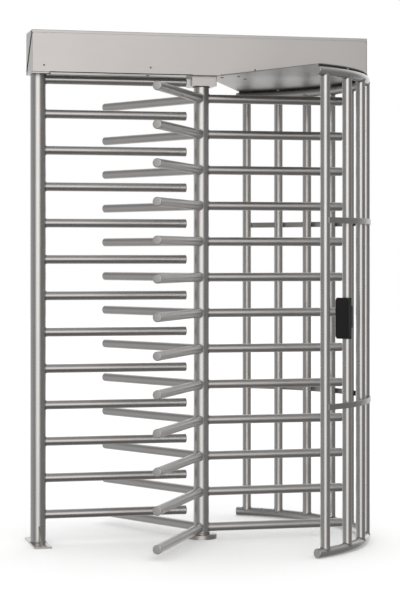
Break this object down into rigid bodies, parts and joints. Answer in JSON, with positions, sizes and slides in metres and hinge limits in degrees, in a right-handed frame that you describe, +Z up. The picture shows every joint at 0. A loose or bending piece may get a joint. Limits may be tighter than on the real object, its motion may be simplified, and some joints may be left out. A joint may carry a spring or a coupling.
{
  "type": "full height turnstile",
  "caption": "Full height security turnstile: a turning column of steel arms between a barred barrier and a curved tube cage, under a sheet metal header, with a reader on the cage.",
  "frame": {"origin": "centre of the floor flange's underside, on the rotor's axis, at floor level", "axes": "+Z up along the rotor's axis, +X from the column towards the cage, -Y the side shown in the picture"},
  "size_m": [1.5617, 1.3562, 2.29],
  "materials": {
    "brushed_tube": "brushed stainless steel tube",
    "satin_tube": "satin stainless steel, ground",
    "satin_sheet": "satin stainless steel sheet",
    "machined_steel": "machined steel",
    "zinc_plate": "zinc plated steel",
    "bronze": "bearing bronze, turned",
    "black_plastic": "moulded black plastic, fine texture",
    "dark_plastic": "moulded dark grey plastic",
    "grey_paint": "grey powder coat"
  },
  "bodies": {
    "frame": {"left_post": "brushed_tube", "left_foot_plate": "satin_tube", "barrier_arm_01": "brushed_tube", "barrier_arm_02": "brushed_tube", "barrier_arm_03": "brushed_tube", "barrier_arm_04": "brushed_tube", "barrier_arm_05": "brushed_tube", "barrier_arm_06": "brushed_tube", "barrier_arm_07": "brushed_tube", "barrier_arm_08": "brushed_tube", "barrier_arm_09": "brushed_tube", "barrier_arm_10": "brushed_tube", "barrier_arm_11": "brushed_tube", "barrier_arm_12": "brushed_tube", "barrier_arm_13": "brushed_tube", "cage_post_01": "brushed_tube", "cage_post_02": "brushed_tube", "cage_post_03": "brushed_tube", "cage_post_04": "brushed_tube", "cage_post_05": "brushed_tube", "cage_post_06": "brushed_tube", "cage_post_07": "brushed_tube", "cage_post_08": "brushed_tube", "cage_post_09": "brushed_tube", "cage_post_10": "brushed_tube", "cage_ring_bottom": "brushed_tube", "cage_ring_top": "brushed_tube", "cage_band_upper": "satin_tube", "cage_band_lower": "satin_tube", "ceiling_plate": "satin_sheet", "header_pan": "satin_sheet", "header_lid": "satin_sheet", "bearing_housing": "satin_sheet", "top_bearing": "machined_steel", "floor_flange": "satin_tube", "mechanism_plate": "zinc_plate", "exit_magnet": "dark_plastic", "entry_magnet": "dark_plastic", "rotary_damper": "grey_paint", "control_box": "grey_paint", "reader_clamp": "dark_plastic", "reader_housing": "black_plastic"},
    "rotor": {"rotor_column": "brushed_tube", "floor_bush": "bronze", "index_cam": "machined_steel", "rotor_arms_01": "satin_tube", "rotor_arms_02": "satin_tube", "rotor_arms_03": "satin_tube", "rotor_arms_04": "satin_tube", "rotor_arms_05": "satin_tube", "rotor_arms_06": "satin_tube", "rotor_arms_07": "satin_tube", "rotor_arms_08": "satin_tube", "rotor_arms_09": "satin_tube", "rotor_arms_10": "satin_tube", "rotor_arms_11": "satin_tube", "rotor_arms_12": "satin_tube", "rotor_arms_13": "satin_tube"},
    "exit_pawl": {"exit_pawl": "machined_steel"},
    "entry_pawl": {"entry_pawl": "machined_steel"}
  },
  "joints": [
    {"name": "rotor_turn", "type": "hinge", "parent": "frame", "child": "rotor", "pos_m": [0, 0, 0.05], "axis": [0, 0, 1], "continuous": true},
    {"name": "exit_pawl_swing", "type": "hinge", "parent": "frame", "child": "exit_pawl", "pos_m": [0.082, 0.056, 2.1386], "axis": [0, 0, 1], "range_deg": [-13, 0]},
    {"name": "entry_pawl_swing", "type": "hinge", "parent": "frame", "child": "entry_pawl", "pos_m": [-0.082, -0.056, 2.1386], "axis": [0, 0, 1], "range_deg": [-13, 0]}
  ]
}
